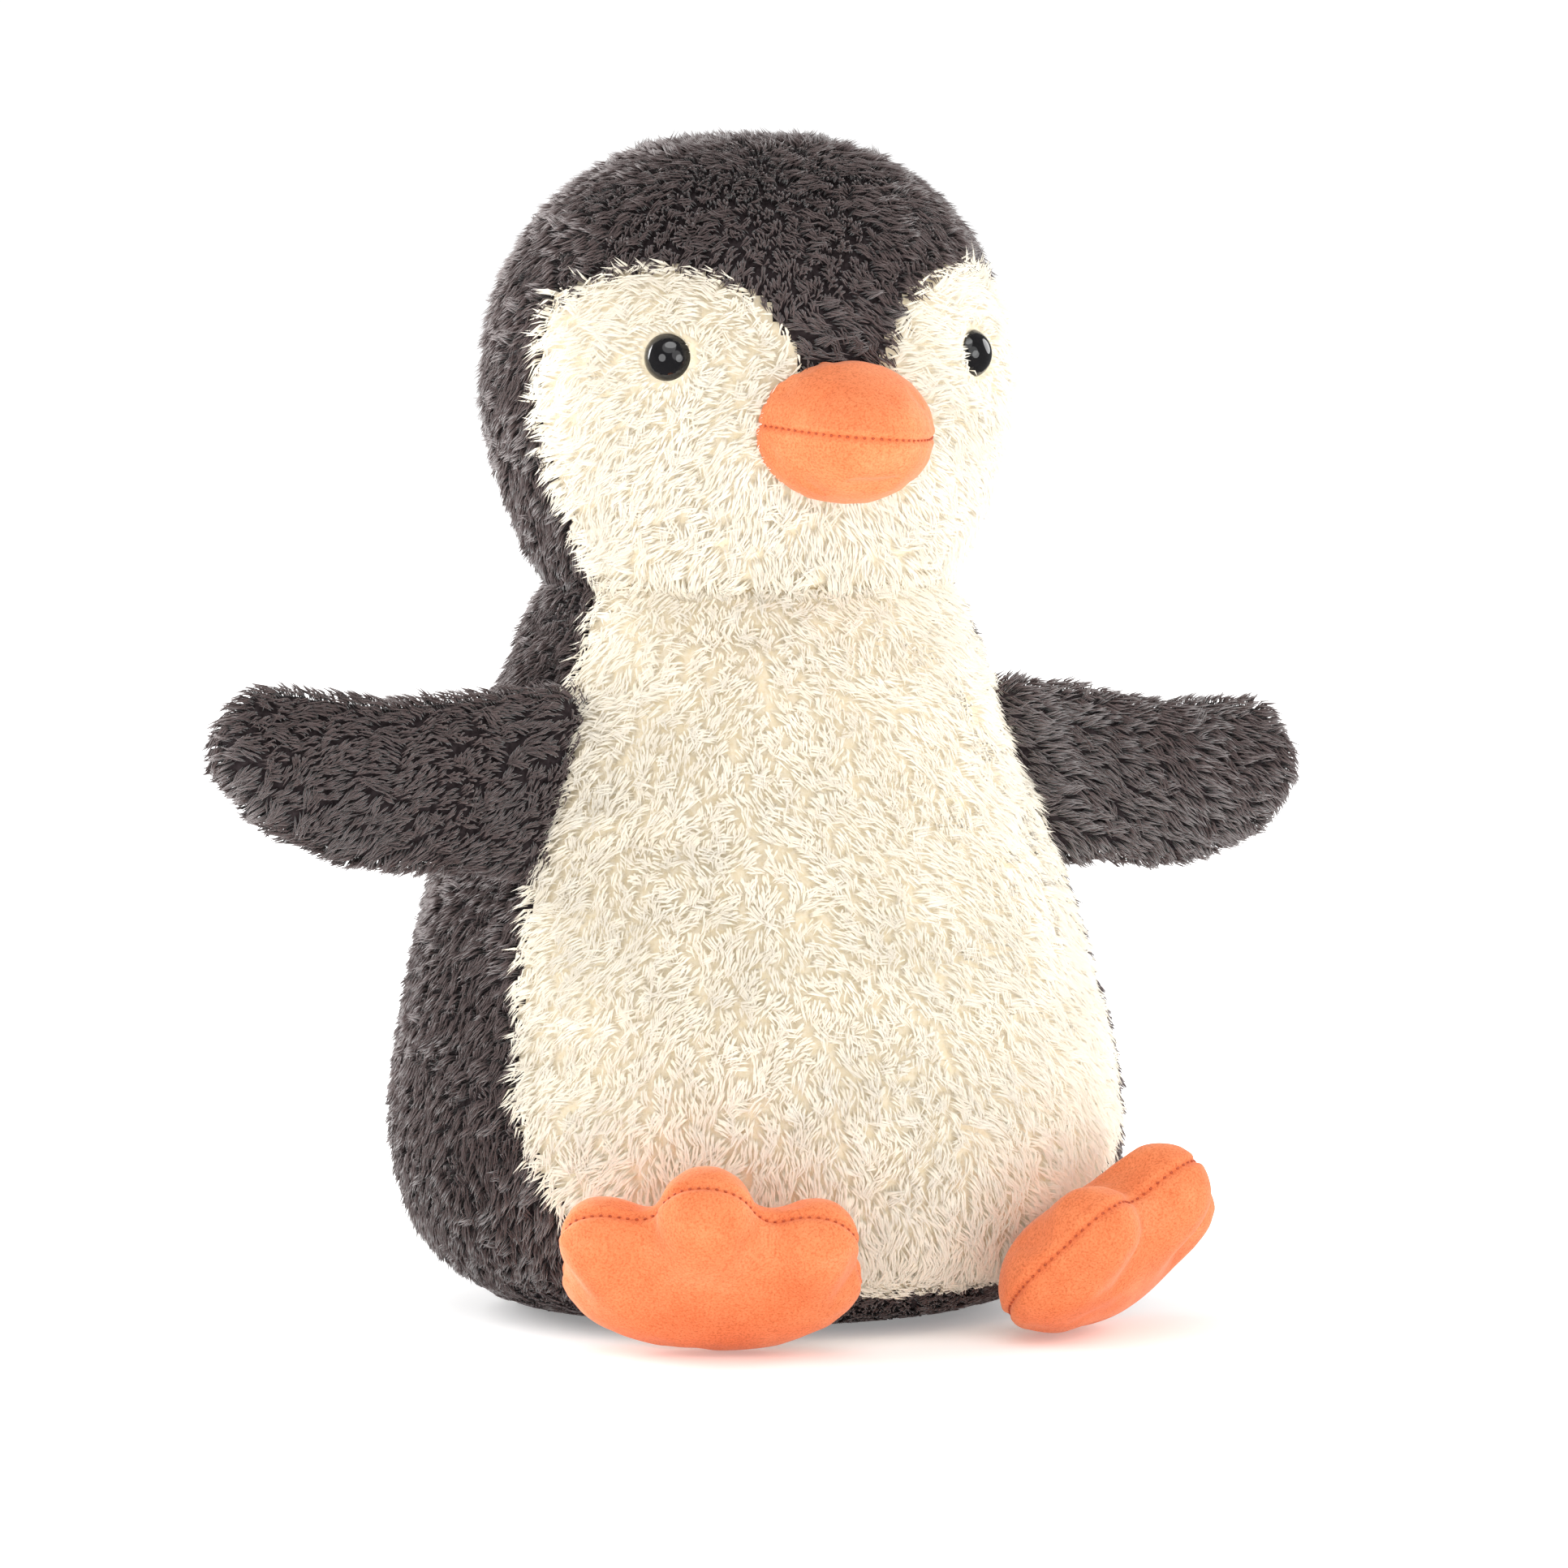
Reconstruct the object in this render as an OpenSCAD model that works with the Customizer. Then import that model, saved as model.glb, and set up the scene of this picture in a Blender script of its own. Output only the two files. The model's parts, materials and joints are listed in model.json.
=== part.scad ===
// Seated plush penguin: sewn panels over stuffing, with a head, two flippers and two feet that flex at their seams.
// Millimetres, +Z up, the face looks along -Y. The origin is the centre of the flat base on the resting surface.

/* [Body] */
// Radius of the body at its widest
body_r = 104; // [100:0.5:107]
// Height of the widest part of the body
body_widest_z = 57; // [52:1:62]
// Radius of the flat base
base_r = 60; // [54:1:66]
// Height of the seam between the base panel and the body panels
base_seam_z = 12; // [10:0.5:14]
// Fullness of the body above its widest part
shoulder_power = 1.45; // [1.4:0.05:1.6]
// Distance of the belly seam in front of the body axis, at the neck
belly_seam_top = 18; // [14:1:22]
// Distance of the belly seam in front of the body axis, at the widest part
belly_seam_mid = 44; // [38:1:50]
// Distance of the belly seam in front of the body axis, at the base
belly_seam_low = 66; // [60:1:70]

/* [Neck] */
// Radius of the neck seam
neck_r = 57.4; // [56:0.2:58.4]
// Height of the neck seam
neck_z = 210; // [208:0.5:212]
// Height of the centre that the head nods and turns about
neck_pivot_z = 195; // [194:0.5:196]
// Height at which the body panels turn in under the head
shoulder_z = 197.5; // [197:0.1:198]
// Height of the top of the turned-in collar
collar_top_z = 237; // [234:0.5:239]

/* [Head] */
// Radius of the head at its widest
head_r = 75.2; // [73:0.2:77]
// Height of the widest part of the head
head_widest_z = 264.4; // [262:0.2:268]
// Height of the crown
crown_z = 337.5; // [333:0.5:341]
// Fullness of the cheeks
cheek_power = 1.6; // [1.5:0.05:1.8]
// Squareness of the crown
crown_power = 2.2; // [2.1:0.1:2.5]
// Distance of the face seam in front of the head axis
face_seam_y = 18; // [14:1:22]
// Radius of the pale lobe around each eye
face_lobe_r = 31.5; // [30:0.5:34]
// Distance of each lobe from the middle of the face
face_lobe_x = 44; // [43:0.5:48]
// Height of the middle of the lobes
face_lobe_z = 269.5; // [266:0.5:272]

/* [Eyes] */
// Angle of each eye from straight ahead
eye_angle = 40; // [36:1:44]
// Height of the eyes
eye_z = 276.3; // [273:0.1:281]
// Radius of the eye dome where it meets the fabric
eye_r = 6.9; // [6.2:0.1:7.4]
// Height of the eye dome
eye_rise = 5; // [4.2:0.1:6]
// Radius of the shank behind the eye
shank_r = 2.2; // [2:0.1:2.5]
// Length of the shank behind the eye
shank_len = 13; // [11:0.5:15]
// Radius of the washer that locks the eye
washer_r = 7; // [6.4:0.1:7.4]
// Thickness of the washer
washer_t = 2; // [1.6:0.1:2.4]

/* [Beak] */
// Half the width of the beak at its root
beak_r = 29; // [27:0.5:30]
// Height of the beak compared with its width
beak_flatness = 0.8; // [0.76:0.01:0.86]
// Height of the mouth seam
mouth_z = 256; // [254:0.5:259]
// Distance of the beak tip in front of the head axis
beak_tip_y = 106; // [100:0.5:108]

/* [Flippers] */
// Angle of the flipper seam from straight ahead
flipper_angle = 70; // [68:0.5:72]
// Height of the middle of the flipper seam
flipper_z = 158; // [156:0.5:160]
// Gap between the body and the hinge line of the flipper
flipper_offset = 6.2; // [6:0.1:7]
// Length of the flipper from its seam to the middle of its tip
flipper_len = 78; // [74:1:82]
// Height of the top of the flipper seam above its middle
flipper_root_up = 20; // [17:0.5:22]
// Depth of the bottom of the flipper seam below its middle
flipper_root_down = 23; // [20:0.5:26]
// Angle that the left flipper droops further than the right one
flipper_left_droop = 8; // [0:1:10]
// Angle that the flipper is swept back from square to the body
flipper_sweep = 35; // [30:1:38]
// Radius of the stuffed edge at the seam
flipper_root_r = 5; // [4.6:0.1:5.2]
// Radius of the stuffed edge at mid length
flipper_mid_r = 11; // [10:0.5:12]
// Radius of the upper corner of the tip
flipper_corner_r = 5; // [4.6:0.1:6]

/* [Feet] */
// Angle of the left foot from straight ahead, round the body
foot_left_angle = 29; // [27:0.5:31]
// Angle of the right foot from straight ahead, round the body
foot_right_angle = 26.5; // [25:0.5:29]
// Distance of the foot hinge from the body axis
foot_reach = 118; // [117.5:0.5:121]
// Height of the foot hinge
foot_hinge_z = 17.2; // [17:0.1:18]
// Half the width of the padded heel
pad_half_width = 41.5; // [38:0.5:42]
// Half the length of the padded heel
pad_half_length = 27; // [25:0.5:27.5]
// Half the thickness of the padded heel
pad_half_height = 15.5; // [14:0.1:16]
// Radius of the middle toe
mid_toe_r = 14; // [13:0.5:14.5]
// Length from the hinge to the middle of the middle toe's tip
mid_toe_len = 37; // [34:0.5:39]
// Radius of the side toes
side_toe_r = 13; // [12:0.5:13.5]
// Length from the hinge to the middle of a side toe's tip
side_toe_len = 25; // [23:0.5:27]
// Spacing of the side toes' tips from the middle of the foot
toe_spacing = 28; // [26:0.5:29]
// Spacing of the side toes' roots from the middle of the foot
heel_spacing = 12; // [10:0.5:14]
// Angle that the toes point up from the floor
foot_tilt = 42; // [38:1:45]
// Angle that the left foot turns out
foot_left_splay = 45; // [38:1:46]
// Angle that the right foot turns out
foot_right_splay = 26; // [20:1:32]

/* [Fabric] */
// Thickness of the pile fabric
pile_t = 3; // [2.6:0.1:3.2]
// Thickness of the pile fabric on the flippers
flipper_pile_t = 2; // [1.6:0.1:2.2]
// Thickness of the smooth fabric of the beak and feet
suede_t = 1.5; // [1.2:0.1:1.8]
// Radius of the bean pouch in the base
pouch_r = 56; // [50:1:58]
// Height of the bean pouch
pouch_h = 30; // [24:1:34]
// Thickness of the pouch cloth
pouch_t = 1; // [0.8:0.1:1.4]

/* [Hidden] */

$fn = 64;
hull_fn = 22;
steps = 10;
far = 400;
joint_gap = 0.4;
turn_gap = 0.3;
sleeve_gap = 0.1;
fill_gap = 0.1;
neck_ball_r = norm([neck_r, neck_z - neck_pivot_z]) + 0.1;
stuffing_top_z = neck_pivot_z + 0.7;
eye_ball_r = (eye_r * eye_r + eye_rise * eye_rise) / (2 * eye_rise);
eye_seat = 1.6;
beak_root_y = 60;
beak_taper = 1.15;
pad_centre_y = 8;
cap_h = 10;
washer_clear = 0.5;
washer_gap = 1.5;
eye_inset = 0.6;
lobe_drop = 4;
flipper_mid_share = 0.54;
flipper_mid_up = -3.5;
flipper_mid_down = 26;
corner_out = 2;
corner_down = 3;
tip_r = flipper_mid_r - 0.5;
tip_down = 16;
heel_in = 12;
heel_down = 24;
pouch_edge = 0.7;
pouch_crown = 0.8;
pouch_z = pile_t + pouch_h / 2;
body_span = neck_z - body_widest_z;
flipper_slope = atan(
    (body_r - neck_r) * shoulder_power
    * pow((flipper_z - body_widest_z) / body_span, shoulder_power - 1) / body_span
);

charcoal = "DimGray";
cream = "Ivory";
orange = "Coral";
filling = "WhiteSmoke";
cloth = "Wheat";
gloss = "Black";
plastic = "LightGray";

// ---- curves ----

function body_radius(z) =
    neck_r + (body_r - neck_r) * (1 - pow((z - body_widest_z) / body_span, shoulder_power));

function body_curve() = concat(
    [for (i = [0:steps - 1]) let (t = 90 * i / steps)
        [base_r + (body_r - base_r) * sin(t), body_widest_z * (1 - cos(t))]],
    [for (i = [0:steps]) let (z = body_widest_z + body_span * i / steps)
        [body_radius(z), z]]
);

function head_curve() = concat(
    [for (i = [0:steps - 1]) let (s = 1 - i / steps)
        [neck_r + (head_r - neck_r) * (1 - pow(s, cheek_power)),
         head_widest_z - s * (head_widest_z - neck_z)]],
    [for (i = [0:steps]) let (t = 90 * i / steps)
        [head_r * pow(cos(t), 2 / crown_power),
         head_widest_z + (crown_z - head_widest_z) * pow(sin(t), 2 / crown_power)]]
);

function beak_curve(d) = [for (i = [0:steps]) let (t = 90 * i / steps)
    [(beak_r - d) * pow(cos(t), beak_taper),
     beak_root_y + (beak_tip_y - d - beak_root_y) * sin(t)]];

function cushion_curve(r, h) = [for (i = [0:2 * steps]) let (t = 90 * i / steps - 90)
    [r * pow(cos(t), pouch_edge), h / 2 * sign(t) * pow(abs(sin(t)), pouch_crown)]];

function inset(p, d) = [for (i = [0:len(p) - 1])
    let (a = p[max(i - 1, 0)], b = p[min(i + 1, len(p) - 1)], t = (b - a) / norm(b - a))
    [max(p[i][0] - d * t[1], 0), p[i][1] + d * t[0]]];

// ---- helpers ----

module lathe(p) {
    rotate_extrude()
        polygon(concat([[0, p[0][1]]], p, [[0, p[len(p) - 1][1]]]));
}

module closed_profile(p) {
    polygon(concat([[0, p[0][1]]], p, [[0, p[len(p) - 1][1]]]));
}

module band_2d(z0, z1) {
    translate([0, z0])
        square([far, z1 - z0]);
}

module slab(z0, z1) {
    translate([-far / 2, -far / 2, z0])
        cube([far, far, z1 - z0]);
}

module side(s) {
    translate([s > 0 ? 0 : -far, -far, -far])
        cube([far, 2 * far, 2 * far]);
}

// ---- body ----

module body_profile(d) {
    intersection() {
        closed_profile(inset(body_curve(), d));
        band_2d(0, shoulder_z - d);
    }
    intersection() {
        translate([0, neck_pivot_z])
            circle(neck_ball_r - d);
        band_2d(neck_pivot_z - pile_t, collar_top_z);
    }
}

module body_shell() {
    rotate_extrude()
        difference() {
            body_profile(0);
            body_profile(pile_t);
        }
}

module front_region() {
    rotate([90, 0, 90])
        linear_extrude(2 * far, center = true)
            polygon([
                [-far, -far],
                [-belly_seam_low, -far],
                [-belly_seam_low, base_seam_z],
                [-belly_seam_mid, body_widest_z + base_seam_z],
                [-belly_seam_top, neck_z],
                [-belly_seam_top, far],
                [-far, far]
            ]);
}

module belly_panel() {
    color(cream)
        intersection() {
            body_shell();
            slab(base_seam_z, far);
            front_region();
        }
}

module back_panel(s) {
    color(charcoal)
        difference() {
            intersection() {
                body_shell();
                slab(base_seam_z, far);
                side(s);
            }
            front_region();
        }
}

module base_panel() {
    color(charcoal)
        intersection() {
            body_shell();
            slab(-1, base_seam_z);
        }
}

module body_stuffing() {
    color(filling)
        difference() {
            rotate_extrude()
                intersection() {
                    body_profile(pile_t);
                    band_2d(0, stuffing_top_z);
                }
            pouch_shape(0);
        }
}

module pouch_shape(d) {
    translate([0, 0, pouch_z])
        lathe(cushion_curve(pouch_r - d, pouch_h - 2 * d));
}

module bean_pouch() {
    color(cloth)
        difference() {
            pouch_shape(0);
            pouch_shape(pouch_t);
        }
}

module bean_fill() {
    color(plastic)
        pouch_shape(pouch_t);
}

// ---- neck ----

module neck_stuffing() {
    color(filling)
        rotate_extrude()
            union() {
                intersection() {
                    translate([0, neck_pivot_z])
                        circle(neck_ball_r - pile_t - turn_gap);
                    band_2d(stuffing_top_z + turn_gap, collar_top_z + 1);
                }
                intersection() {
                    translate([0, neck_pivot_z])
                        circle(neck_ball_r);
                    band_2d(collar_top_z + turn_gap, far);
                }
            }
}

// ---- head ----

module head_profile(d) {
    difference() {
        closed_profile(inset(head_curve(), d));
        translate([0, neck_pivot_z])
            circle(neck_ball_r + joint_gap);
    }
}

module head_solid() {
    rotate_extrude()
        closed_profile(head_curve());
}

module head_shell() {
    rotate_extrude()
        difference() {
            head_profile(0);
            head_profile(pile_t);
        }
}

module face_region() {
    translate([0, -face_seam_y, 0])
        rotate([90, 0, 0])
            linear_extrude(far)
                union() {
                    for (s = [-1, 1])
                        translate([s * face_lobe_x, face_lobe_z])
                            circle(face_lobe_r);
                    translate([-far / 2, 0])
                        square([far, face_lobe_z - lobe_drop]);
                }
}

module face_panel(s) {
    color(cream)
        difference() {
            intersection() {
                head_shell();
                face_region();
                side(s);
            }
            at_eye(s)
                eye_pocket();
        }
}

module crown_panel(s) {
    color(charcoal)
        intersection() {
            difference() {
                head_shell();
                face_region();
            }
            side(s);
        }
}

module head_stuffing() {
    color(filling)
        difference() {
            rotate_extrude()
                head_profile(pile_t);
            for (s = [-1, 1])
                at_eye(s)
                    washer_pocket();
        }
}

// ---- eyes: local +Z points out of the head, its zero is the surface of the pile ----

module at_eye(s) {
    r = head_r - eye_inset;
    rotate([0, 0, s * eye_angle])
        translate([0, -r, eye_z])
            rotate([90, 0, 0])
                children();
}

module eye_pocket() {
    translate([0, 0, -eye_seat])
        cylinder(h = cap_h, r = eye_r + sleeve_gap);
    translate([0, 0, -shank_len])
        cylinder(h = shank_len, r = shank_r + sleeve_gap);
}

module washer_pocket() {
    translate([0, 0, -shank_len - washer_t])
        cylinder(h = shank_len, r = washer_r + washer_clear);
}

module eye(s) {
    color(gloss)
        at_eye(s)
            union() {
                intersection() {
                    translate([0, 0, eye_rise - eye_seat - eye_ball_r])
                        sphere(eye_ball_r);
                    translate([0, 0, -eye_seat])
                        cylinder(h = cap_h, r = eye_r + pile_t);
                }
                translate([0, 0, -shank_len])
                    cylinder(h = shank_len, r = shank_r);
            }
}

module eye_washer(s) {
    color(plastic)
        at_eye(s)
            translate([0, 0, -pile_t - washer_t - washer_gap])
                difference() {
                    cylinder(h = washer_t, r = washer_r);
                    translate([0, 0, -washer_t])
                        cylinder(h = 3 * washer_t, r = shank_r + sleeve_gap);
                }
}

// ---- beak ----

module beak_shape(d) {
    difference() {
        translate([0, 0, mouth_z])
            scale([1, 1, beak_flatness])
                rotate([90, 0, 0])
                    lathe(beak_curve(d));
        head_solid();
    }
}

module beak_shell() {
    difference() {
        beak_shape(0);
        beak_shape(suede_t);
    }
}

module beak_upper() {
    color(orange)
        intersection() {
            beak_shell();
            slab(mouth_z, far);
        }
}

module beak_lower() {
    color(orange)
        intersection() {
            beak_shell();
            slab(0, mouth_z);
        }
}

module beak_stuffing() {
    color(filling)
        beak_shape(suede_t);
}

// ---- flippers: local Z is the hinge line, local X points out, local Y points back ----

module at_flipper(s) {
    r = body_radius(flipper_z) + flipper_offset;
    mirror([s > 0 ? 0 : 1, 0, 0])
        rotate([0, 0, flipper_angle - 90])
            translate([r, 0, flipper_z])
                rotate([0, -flipper_slope, 0])
                    rotate([0, 0, flipper_sweep])
                        children();
}

module flipper_ball(s, x, z, r) {
    rotate([0, s > 0 ? flipper_left_droop : 0, 0])
        translate([x, 0, z])
            sphere(r, $fn = hull_fn);
}

module flipper_middle(s, d) {
    for (z = [flipper_mid_up, -flipper_mid_down])
        flipper_ball(s, flipper_len * flipper_mid_share, z, flipper_mid_r - d);
}

module flipper_shape(s, d) {
    hull() {
        for (z = [-flipper_root_down, flipper_root_up])
            translate([0, 0, z])
                sphere(flipper_root_r - d, $fn = hull_fn);
        flipper_middle(s, d);
    }
    hull() {
        flipper_middle(s, d);
        flipper_ball(s, flipper_len + corner_out, -corner_down, flipper_corner_r - d);
        flipper_ball(s, flipper_len, -tip_down, tip_r - d);
        flipper_ball(s, flipper_len - heel_in, -heel_down, tip_r - d);
    }
}

module flipper_panel(s, k) {
    color(charcoal)
        at_flipper(s)
            intersection() {
                difference() {
                    flipper_shape(s, 0);
                    flipper_shape(s, flipper_pile_t);
                }
                translate([-far / 2, k > 0 ? 0 : -far, -far / 2])
                    cube(far);
            }
}

module flipper_stuffing(s) {
    color(filling)
        at_flipper(s)
            flipper_shape(s, flipper_pile_t);
}

// ---- feet: local X is the hinge line, the toes point along local -Y, the sole faces local -Z ----

module at_foot(s) {
    angle = s > 0 ? foot_left_angle : foot_right_angle;
    splay = s > 0 ? foot_left_splay : foot_right_splay;
    rotate([0, 0, s * angle])
        translate([0, -foot_reach, foot_hinge_z])
            rotate([0, 0, s * (splay - angle)])
                rotate([-foot_tilt, 0, 0])
                    children();
}

module toe(x0, x1, len, r) {
    dx = x1 - x0;
    reach = norm([dx, len]);
    translate([x0, 0, 0])
        rotate([90, 0, atan2(dx, len)])
            rotate_extrude()
                intersection() {
                    union() {
                        circle(r);
                        square([r, reach]);
                        translate([0, reach])
                            circle(r);
                    }
                    translate([0, -far / 2])
                        square([far, far]);
                }
}

module foot_pad(d) {
    translate([0, -pad_centre_y, 0])
        scale([pad_half_width - d, pad_half_length - d, pad_half_height - d])
            sphere(1);
}

module foot_shape(d) {
    union() {
        foot_pad(d);
        toe(0, 0, mid_toe_len, mid_toe_r - d);
        for (k = [-1, 1])
            toe(k * heel_spacing, k * toe_spacing, side_toe_len, side_toe_r - d);
    }
}

module foot_panel(s, k) {
    color(orange)
        at_foot(s)
            intersection() {
                difference() {
                    foot_shape(0);
                    foot_shape(suede_t);
                }
                translate([-far / 2, -far / 2, k > 0 ? 0 : -far])
                    cube(far);
            }
}

module foot_stuffing(s) {
    color(filling)
        at_foot(s)
            foot_shape(suede_t + fill_gap);
}

belly_panel();
back_panel(1);  // back_panel_left
back_panel(-1);  // back_panel_right
base_panel();
body_stuffing();
bean_pouch();
bean_fill();
neck_stuffing();
face_panel(1);  // face_panel_left
face_panel(-1);  // face_panel_right
crown_panel(1);  // crown_panel_left
crown_panel(-1);  // crown_panel_right
head_stuffing();
beak_upper();
beak_lower();
beak_stuffing();
eye(1);  // eye_left
eye(-1);  // eye_right
eye_washer(1);  // eye_washer_left
eye_washer(-1);  // eye_washer_right
flipper_panel(1, -1);  // flipper_left_front
flipper_panel(1, 1);  // flipper_left_back
flipper_stuffing(1);  // flipper_left_stuffing
flipper_panel(-1, -1);  // flipper_right_front
flipper_panel(-1, 1);  // flipper_right_back
flipper_stuffing(-1);  // flipper_right_stuffing
foot_panel(1, 1);  // foot_left_upper
foot_panel(1, -1);  // foot_left_sole
foot_stuffing(1);  // foot_left_stuffing
foot_panel(-1, 1);  // foot_right_upper
foot_panel(-1, -1);  // foot_right_sole
foot_stuffing(-1);  // foot_right_stuffing
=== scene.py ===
import json
import math

import bmesh
import bpy
import numpy as np
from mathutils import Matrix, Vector
from mathutils.bvhtree import BVHTree
from mathutils.kdtree import KDTree


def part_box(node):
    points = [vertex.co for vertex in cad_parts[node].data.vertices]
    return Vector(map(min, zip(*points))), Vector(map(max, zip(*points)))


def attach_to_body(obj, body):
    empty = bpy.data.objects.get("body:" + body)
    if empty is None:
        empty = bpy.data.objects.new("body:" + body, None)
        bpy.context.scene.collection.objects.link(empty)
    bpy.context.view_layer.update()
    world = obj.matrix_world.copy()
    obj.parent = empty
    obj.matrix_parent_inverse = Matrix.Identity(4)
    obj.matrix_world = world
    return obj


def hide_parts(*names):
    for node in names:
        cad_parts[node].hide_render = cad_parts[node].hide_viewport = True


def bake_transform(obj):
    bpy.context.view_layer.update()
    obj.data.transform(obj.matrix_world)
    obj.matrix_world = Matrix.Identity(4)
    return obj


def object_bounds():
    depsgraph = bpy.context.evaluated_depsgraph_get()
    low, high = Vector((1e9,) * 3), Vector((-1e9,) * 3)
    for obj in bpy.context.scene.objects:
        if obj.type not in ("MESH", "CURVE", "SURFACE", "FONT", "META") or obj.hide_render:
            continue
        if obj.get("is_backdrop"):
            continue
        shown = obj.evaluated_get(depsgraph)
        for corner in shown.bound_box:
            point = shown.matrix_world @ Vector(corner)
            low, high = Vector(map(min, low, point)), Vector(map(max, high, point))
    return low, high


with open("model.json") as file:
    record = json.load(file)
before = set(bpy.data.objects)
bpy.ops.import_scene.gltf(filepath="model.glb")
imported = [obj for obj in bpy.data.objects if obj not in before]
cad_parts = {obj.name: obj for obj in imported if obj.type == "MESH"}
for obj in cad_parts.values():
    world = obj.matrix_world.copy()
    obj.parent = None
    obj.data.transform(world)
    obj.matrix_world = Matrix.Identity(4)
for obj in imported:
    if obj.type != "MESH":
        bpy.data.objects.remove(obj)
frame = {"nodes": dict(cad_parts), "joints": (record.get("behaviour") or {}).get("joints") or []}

NODES = frame["nodes"]
JOINTS = {j["name"]: j for j in frame["joints"]}
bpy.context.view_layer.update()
SCENE = bpy.context.scene
SIDES = ("left", "right")

SKIN_INSET = 0.0022  # the pile's backing lies this far inside the CAD surface
DARK_LENGTH = 0.0066  # length of the dark pile
PALE_LENGTH = 0.0070  # length of the pale pile
UP = np.array([0.0, 0.0, 1.0])


# ---------------------------------------------------------------- small helpers


def coords(ob):
    co = np.empty(len(ob.data.vertices) * 3)
    ob.data.vertices.foreach_get("co", co)
    return co.reshape(-1, 3)


def set_coords(ob, co):
    ob.data.vertices.foreach_set("co", np.asarray(co, np.float32).ravel())
    ob.data.update()


def unit(v):
    return v / np.maximum(np.linalg.norm(v, axis=-1, keepdims=True), 1e-12)


def smooth_step(x, a, b):
    t = np.clip((x - a) / (b - a), 0, 1)
    return t * t * (3 - 2 * t)


def new_object(name, verts, faces, smooth=True):
    """faces is an (n, 3) or (n, 4) array, or a list of tuples."""
    me = bpy.data.meshes.new(name)
    if isinstance(faces, np.ndarray):
        k = faces.shape[1]
        me.vertices.add(len(verts))
        me.vertices.foreach_set("co", np.asarray(verts, np.float32).ravel())
        me.loops.add(faces.size)
        me.loops.foreach_set("vertex_index", faces.astype(np.int32).ravel())
        me.polygons.add(len(faces))
        me.polygons.foreach_set("loop_start", np.arange(0, faces.size, k, dtype=np.int32))
        me.update(calc_edges=True)
    else:
        me.from_pydata([tuple(v) for v in verts], [], faces)
        me.update()
    if smooth:
        me.polygons.foreach_set("use_smooth", np.ones(len(me.polygons), bool))
    ob = bpy.data.objects.new(name, me)
    SCENE.collection.objects.link(ob)
    return ob


def evaluated_copy(ob, name):
    """A new object with ob's modifiers applied; ob is removed."""
    dg = bpy.context.evaluated_depsgraph_get()
    me = bpy.data.meshes.new_from_object(ob.evaluated_get(dg))
    me.name = name
    out = bpy.data.objects.new(name, me)
    SCENE.collection.objects.link(out)
    bpy.data.objects.remove(ob)
    me.polygons.foreach_set("use_smooth", np.ones(len(me.polygons), bool))
    return out


def solid_of(name, nodes, voxel, smooth=2):
    """One closed skin round several CAD nodes, as an even voxel mesh."""
    bm = bmesh.new()
    for n in nodes:
        bm.from_mesh(NODES[n].data)
    me = bpy.data.meshes.new(name)
    bm.to_mesh(me)
    bm.free()
    ob = bpy.data.objects.new(name, me)
    SCENE.collection.objects.link(ob)
    rm = ob.modifiers.new("even", "REMESH")
    rm.mode = "VOXEL"
    rm.voxel_size = voxel
    sm = ob.modifiers.new("soften", "SMOOTH")
    sm.factor = 0.5
    sm.iterations = smooth
    out = evaluated_copy(ob, name)
    bm = bmesh.new()
    bm.from_mesh(out.data)
    seen, best = set(), []
    for v in bm.verts:  # keeps the outer shell, which is the largest one
        if v in seen:
            continue
        shell, todo = [], [v]
        seen.add(v)
        while todo:
            w = todo.pop()
            shell.append(w)
            for e in w.link_edges:
                o = e.other_vert(w)
                if o not in seen:
                    seen.add(o)
                    todo.append(o)
        if len(shell) > len(best):
            best = shell
    keep = set(best)
    bmesh.ops.delete(bm, geom=[v for v in bm.verts if v not in keep], context="VERTS")
    bm.to_mesh(out.data)
    bm.free()
    return out


def subdivide(ob, levels):
    mod = ob.modifiers.new("finer", "SUBSURF")
    mod.levels = mod.render_levels = levels
    return evaluated_copy(ob, ob.name)


def vertex_normals(ob):
    n = np.empty(len(ob.data.vertices) * 3, np.float32)
    ob.data.vertex_normals.foreach_get("vector", n)
    return n.reshape(-1, 3).astype(float)


def triangles(ob):
    me = ob.data
    me.calc_loop_triangles()
    t = np.empty(len(me.loop_triangles) * 3, np.int32)
    me.loop_triangles.foreach_get("vertices", t)
    return t.reshape(-1, 3)


class Lookup:
    """Finds which of several CAD nodes is nearest to a point."""

    def __init__(self, nodes):
        verts, faces, self.owner = [], [], []
        for k, n in enumerate(nodes):
            base = len(verts)
            verts += [tuple(v) for v in coords(NODES[n])]
            tris = triangles(NODES[n]) + base
            faces += [tuple(int(i) for i in t) for t in tris]
            self.owner += [k] * len(tris)
        self.tree = BVHTree.FromPolygons(verts, faces)

    def __call__(self, points):
        out = np.zeros(len(points), int)
        for i, p in enumerate(points):
            out[i] = self.owner[self.tree.find_nearest(p)[2]]
        return out


# ---------------------------------------------------------------- lathe skins


def outer_profile(nodes, low, high):
    """The outer outline of round CAD nodes as (radius, height) points, bottom to top."""
    co = np.concatenate([coords(NODES[n]) for n in nodes])
    pts = np.stack([co[:, 2], np.hypot(co[:, 0], co[:, 1])], 1)
    pts = pts[(pts[:, 0] >= low - 1e-6) & (pts[:, 0] <= high + 1e-6)]
    pts = pts[np.lexsort((pts[:, 1], pts[:, 0]))]
    hull = []
    for p in pts:
        while len(hull) >= 2:
            (z0, r0), (z1, r1) = hull[-2], hull[-1]
            if (z1 - z0) * (p[1] - r0) - (r1 - r0) * (p[0] - z0) >= 0:
                hull.pop()
            else:
                break
        hull.append(p)
    return np.array([(r, z) for z, r in hull])


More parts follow.
